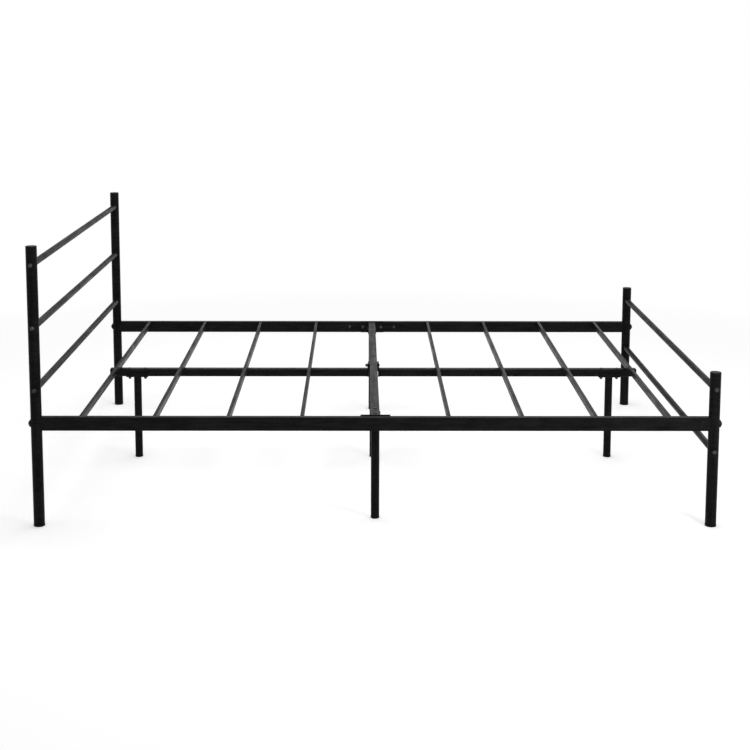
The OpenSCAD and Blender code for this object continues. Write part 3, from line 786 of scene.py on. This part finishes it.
class BED_OT_feet(bpy.types.Operator):
    """Add the feet under the posts and legs"""

    bl_idname = "bed.feet"
    bl_label = "Feet"

    def execute(self, context):
        sizes = context.scene.bed_sizes
        post_foot = ring_stack(foot_rings(POST_R, FOOT_T, sizes), 64)
        leg_foot = ring_stack(foot_rings(sizes.leg_d / 2, FOOT_T, sizes), 56)
        up = ((0, 0, 1), (0, 1, 0))
        posts = [facing(*up, (*centre(post)[:2], 0)) for post in POSTS]
        legs = [facing(*up, (*centre(leg)[:2], 0)) for leg in CENTRE_LEGS + SIDE_LEGS + (MIDDLE_LEG,)]
        plastic = finish("moulded_black")
        add_piece("post_foot_set", [placed(post_foot, posts)], plastic, ["post_feet"])
        add_piece("leg_foot_set", [placed(leg_foot, legs)], plastic, ["leg_feet"])
        return {"FINISHED"}


class BED_OT_plugs(bpy.types.Operator):
    """Add the plugs over the barrel nut holes"""

    bl_idname = "bed.plugs"
    bl_label = "Hole plugs"

    def execute(self, context):
        sizes = context.scene.bed_sizes
        low = float(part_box("rail_hole_plugs")[1][1]) - sizes.plug_t
        plug = ring_stack(plug_rings(sizes.plug_d / 2, sizes.plug_t, 7.1 * MM, 2.2 * MM), 56)
        x = POST_X - sizes.barrel_x
        places = [facing((0, sy, 0), (0, 0, 1), (sx * x, sy * low, RAIL_Z)) for sx in ENDS for sy in ENDS]
        plastic = finish("moulded_black")
        add_piece("hole_plug_set", [placed(plug, places)], plastic, ["rail_hole_plugs"])
        return {"FINISHED"}


class BED_OT_bolts(bpy.types.Operator):
    """Add the bolts with their sockets and threads"""

    bl_idname = "bed.bolts"
    bl_label = "Bolts"

    def execute(self, context):
        sizes = context.scene.bed_sizes
        parts = context.scene.bed_fasteners
        steel = finish("blackened_steel")
        cols = 36
        small = (parts.head_d, parts.head_h, parts.bolt_d)
        coarse = 1.0 * MM

        def add(name, node, groups):
            grids = [placed(ring_stack(rings, cols), places) for rings, places in groups]
            add_piece(name, grids, steel, [node], sharp=28)

        reach = POST_X + WASHER_OUT - float(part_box("corner_barrel_nuts")[1][0]) + 16 * MM
        large = (parts.corner_head_d, parts.corner_head_h, parts.corner_d)
        corner = bolt_rings(*large, reach, 22 * MM, 1.25 * MM, cols)
        add("corner_bolt_set", "corner_bolts", [(corner, corner_places())])
        reach = WASHER_OUT + POST_R + 14.2 * MM
        bar = bolt_rings(*small, reach, 20 * MM, coarse, cols)
        add("bar_bolt_set", "bar_bolts", [(bar, bar_places())])
        grip = 8.8 * MM
        inner = bolt_rings(*small, grip + sizes.plate_t, grip, coarse, cols)
        outer = bolt_rings(*small, grip, grip - 1 * MM, coarse, cols)
        add(
            "rail_joint_bolt_set", "rail_joint_bolts",
            [(inner, joint_places(sizes, True)), (outer, joint_places(sizes, False))],
        )
        saddle = bolt_rings(*small, BEAM + sizes.saddle_t + 5 * MM, 16 * MM, coarse, cols)
        add("leg_bolt_set", "leg_bolts", [(saddle, saddle_places(sizes, True))])
        seat = HUB_X + sizes.plate_t
        hub = bolt_rings(*small, 2 * seat + 5 * MM, 16 * MM, coarse, cols)
        add("hub_bolt_long", "hub_bolt", [(hub, [facing((1, 0, 0), (0, 0, 1), (seat, 0, HUB_Z))])])
        return {"FINISHED"}


class BED_OT_washers(bpy.types.Operator):
    """Add the saddle washers on the posts"""

    bl_idname = "bed.washers"
    bl_label = "Washers"

    def execute(self, context):
        parts = context.scene.bed_fasteners
        gap = 0.3 * MM
        cols = 64
        corner = ring_stack(washer_rings(parts.corner_washer_d, parts.corner_d / 2 + gap, cols), cols)
        bar = ring_stack(washer_rings(parts.bar_washer_d, parts.bolt_d / 2 + gap, cols), cols)
        coat = finish("washer_black")
        corners = [placed(corner, corner_places())]
        add_piece("corner_washer_set", corners, coat, ["corner_washers"])
        add_piece("bar_washer_set", [placed(bar, bar_places())], coat, ["bar_washers"])
        return {"FINISHED"}


class BED_OT_dome_nuts(bpy.types.Operator):
    """Add the dome nuts under the saddles and on the middle bolt"""

    bl_idname = "bed.dome_nuts"
    bl_label = "Dome nuts"

    def execute(self, context):
        sizes = context.scene.bed_sizes
        parts = context.scene.bed_fasteners
        cols = 72
        bore_r = parts.bolt_d / 2 + 0.05 * MM
        rings = dome_nut_rings(parts.nut_af, parts.dome_nut_h, bore_r, 6 * MM, cols)
        nut = ring_stack(rings, cols)
        steel = finish("blackened_steel")
        under = placed(nut, saddle_places(sizes, False))
        add_piece("leg_nut_set", [under], steel, ["leg_dome_nuts"], sharp=25)
        seat = -(HUB_X + sizes.plate_t)
        hub = placed(nut, [facing((-1, 0, 0), (0, 0, 1), (seat, 0, HUB_Z))])
        add_piece("hub_nut", [hub], steel, ["hub_dome_nut"], sharp=25)
        return {"FINISHED"}


class BED_OT_welds(bpy.types.Operator):
    """Add the weld beads on the saddles, the crossbar and the centre rail"""

    bl_idname = "bed.welds"
    bl_label = "Weld beads"

    def execute(self, context):
        sizes = context.scene.bed_sizes
        coat = finish("powder_coat_z")
        cols = 180
        round_outline = outline_points(np.full(cols, sizes.leg_d / 2), cols)
        square_outline = outline_points(rounded_square(BEAM, cols), cols)
        ring = weld_bead(round_outline, sizes)
        square = weld_bead(square_outline, sizes)
        up = ((0, 0, 1), (0, 1, 0))
        low = CENTRE_RAIL_TOP - BEAM - sizes.saddle_t
        places = [facing(*up, (*centre(leg)[:2], low)) for leg in CENTRE_LEGS]
        low = DECK_Z - BEAM - sizes.saddle_t
        places += [facing(*up, (*centre(leg)[:2], low)) for leg in SIDE_LEGS + (MIDDLE_LEG,)]
        add_piece("leg_weld_set", [placed(ring, places)], coat, sharp=60)
        y = RAIL_IN_Y - sizes.plate_t
        places = [facing((0, sy, 0), (0, 0, 1), (0, sy * y, DECK_Z - BEAM / 2)) for sy in ENDS]
        add_piece("crossbar_weld_set", [placed(square, places)], coat, sharp=60)
        x = HUB_X + sizes.plate_t
        places = [facing((sx, 0, 0), (0, 0, 1), (sx * x, 0, CENTRE_RAIL_TOP - BEAM / 2)) for sx in ENDS]
        add_piece("centre_rail_weld_set", [placed(square, places)], coat, sharp=60)
        return {"FINISHED"}


def white_to_view(nodes, links):
    """Socket that is one where the camera, a gloss reflection or a transmission ray looks."""
    path = nodes.new("ShaderNodeLightPath")
    gloss = math_node(nodes, links, "MAXIMUM", path.outputs["Is Camera Ray"], path.outputs["Is Glossy Ray"])
    return math_node(nodes, links, "MAXIMUM", gloss, path.outputs["Is Transmission Ray"])


class BED_OT_studio(bpy.types.Operator):
    """Add the floor, the sky, the softbox and the camera"""

    bl_idname = "bed.studio"
    bl_label = "Studio"
    dim_side = 0.62

    def sky(self, context, level):
        """Even light from all round, seen as plain white, and reflected dimmer towards the head end."""
        world = bpy.data.worlds.new("studio_sky")
        context.scene.world = world
        world.use_nodes = True
        nodes, links = world.node_tree.nodes, world.node_tree.links
        light = nodes["Background"]
        light.inputs["Color"].default_value = (1, 1, 1, 1)
        light.inputs["Strength"].default_value = level
        white = nodes.new("ShaderNodeBackground")
        white.inputs["Color"].default_value = (1, 1, 1, 1)
        place = nodes.new("ShaderNodeTexCoord")
        across = nodes.new("ShaderNodeSeparateXYZ")
        links.new(place.outputs["Generated"], across.inputs["Vector"])
        side = spread(nodes, links, across.outputs["X"], -0.30, 0.06)
        dimmed = math_node(nodes, links, "MULTIPLY_ADD", side, 1 - self.dim_side, self.dim_side)
        path = nodes.new("ShaderNodeLightPath")
        strength = math_node(nodes, links, "MAXIMUM", dimmed, path.outputs["Is Camera Ray"])
        links.new(strength, white.inputs["Strength"])
        mix = nodes.new("ShaderNodeMixShader")
        links.new(white_to_view(nodes, links), mix.inputs["Fac"])
        links.new(light.outputs["Background"], mix.inputs[1])
        links.new(white.outputs["Background"], mix.inputs[2])
        links.new(mix.outputs["Shader"], nodes["World Output"].inputs["Surface"])

    def floor(self, context):
        """A wide pale floor that keeps the shadow, lifted to white where it is seen, and plain white far
        away."""
        mesh = bpy.data.meshes.new("studio_floor")
        sides = ((-1, -1), (1, -1), (1, 1), (-1, 1))
        corners = [(x * FLOOR_REACH, y * FLOOR_REACH, 0) for x, y in sides]
        mesh.from_pydata(corners, [], [(0, 1, 2, 3)])
        material = bpy.data.materials.new("studio_floor")
        material.use_nodes = True
        nodes, links = material.node_tree.nodes, material.node_tree.links
        nodes.remove(nodes["Principled BSDF"])
        pale = nodes.new("ShaderNodeBsdfDiffuse")
        pale.inputs["Color"].default_value = (0.86, 0.86, 0.86, 1)
        lift = nodes.new("ShaderNodeEmission")
        lift.inputs["Strength"].default_value = FLOOR_LIFT
        near = nodes.new("ShaderNodeAddShader")
        links.new(pale.outputs["BSDF"], near.inputs[0])
        links.new(lift.outputs["Emission"], near.inputs[1])
        white = nodes.new("ShaderNodeEmission")
        place = nodes.new("ShaderNodeTexCoord")
        distance = nodes.new("ShaderNodeVectorMath")
        distance.operation = "LENGTH"
        links.new(place.outputs["Object"], distance.inputs[0])
        shown = nodes.new("ShaderNodeMixShader")
        away = spread(nodes, links, distance.outputs["Value"], FLOOR_WHITE_FROM, FLOOR_WHITE_BY)
        links.new(away, shown.inputs["Fac"])
        links.new(near.outputs["Shader"], shown.inputs[1])
        links.new(white.outputs["Emission"], shown.inputs[2])
        seen = nodes.new("ShaderNodeMixShader")
        links.new(white_to_view(nodes, links), seen.inputs["Fac"])
        links.new(pale.outputs["BSDF"], seen.inputs[1])
        links.new(shown.outputs["Shader"], seen.inputs[2])
        links.new(seen.outputs["Shader"], nodes["Material Output"].inputs["Surface"])
        mesh.materials.append(material)
        floor = bpy.data.objects.new("studio_floor", mesh)
        context.scene.collection.objects.link(floor)

    def softbox(self, context, name, size, power, place, aim):
        """A soft rectangular lamp that the camera does not see, turned to face a point."""
        lamp = bpy.data.lights.new(name, "AREA")
        lamp.shape = "RECTANGLE"
        lamp.size, lamp.size_y = size
        lamp.energy = power
        box = bpy.data.objects.new(name, lamp)
        turn = (Vector(place) - Vector(aim)).to_track_quat("Z", "Y").to_matrix().to_4x4()
        box.matrix_world = Matrix.Translation(Vector(place)) @ turn
        box.visible_camera = False
        context.scene.collection.objects.link(box)

    def camera(self, context, studio):
        """Camera with its pitch, yaw and roll applied in turn."""
        data = bpy.data.cameras.new("camera")
        data.lens = studio.lens
        data.sensor_width = 36.0
        data.shift_x = studio.shift_x
        data.shift_y = -studio.rise
        data.clip_start = 0.05
        data.clip_end = 200.0
        camera = bpy.data.objects.new("camera", data)
        turn = Matrix.Rotation(-studio.yaw, 4, "Z")
        tilt = Matrix.Rotation(math.pi / 2 - studio.pitch, 4, "X")
        lean = Matrix.Rotation(-studio.roll, 4, "Z")
        place = Matrix.Translation(Vector((-studio.camera_side, -studio.camera_back, studio.camera_up)))
        camera.matrix_world = place @ turn @ tilt @ lean
        context.scene.collection.objects.link(camera)
        context.scene.camera = camera

    def execute(self, context):
        studio = context.scene.bed_studio
        self.sky(context, studio.sky)
        self.floor(context)
        over = ((0.0, 0.2, 3.2), (0.0, 0.2, 0.0))
        beside = ((1.6, -2.0, 1.0), (-0.2, 0.0, 0.4))
        self.softbox(context, "overhead_softbox", (3.2, 2.6), studio.softbox, *over)
        self.softbox(context, "side_strip", (0.5, 1.8), studio.strip, *beside)
        self.camera(context, studio)
        context.scene.view_settings.view_transform = "Standard"
        return {"FINISHED"}


OPERATORS = (
    BED_OT_finishes,
    BED_OT_caps,
    BED_OT_feet,
    BED_OT_plugs,
    BED_OT_bolts,
    BED_OT_washers,
    BED_OT_dome_nuts,
    BED_OT_welds,
    BED_OT_studio,
)


class BED_PT_panel(bpy.types.Panel):
    """Sidebar panel that lists the sizes and the steps"""

    bl_idname = "BED_PT_panel"
    bl_label = "Bed frame"
    bl_space_type = "VIEW_3D"
    bl_region_type = "UI"
    bl_category = "Bed frame"

    def draw(self, context):
        layout = self.layout
        for group, attribute in zip(GROUPS, GROUP_NAMES):
            box = layout.box()
            box.label(text=group.__doc__)
            for name in group.__annotations__:
                box.prop(getattr(context.scene, attribute), name)
        for operator in OPERATORS:
            layout.operator(operator.bl_idname)


def register():
    """Registers the property groups, the operators and the panel."""
    for group, attribute in zip(GROUPS, GROUP_NAMES):
        bpy.utils.register_class(group)
        setattr(bpy.types.Scene, attribute, PointerProperty(type=group))
    for item in OPERATORS + (BED_PT_panel,):
        bpy.utils.register_class(item)


def unregister():
    """Takes away what register added."""
    for item in (BED_PT_panel,) + OPERATORS[::-1]:
        bpy.utils.unregister_class(item)
    for group, attribute in zip(GROUPS, GROUP_NAMES):
        delattr(bpy.types.Scene, attribute)
        bpy.utils.unregister_class(group)


def main():
    register()
    for operator in OPERATORS:
        name = operator.bl_idname.split(".")[1]
        getattr(bpy.ops.bed, name)()


if __name__ == "__main__":
    main()
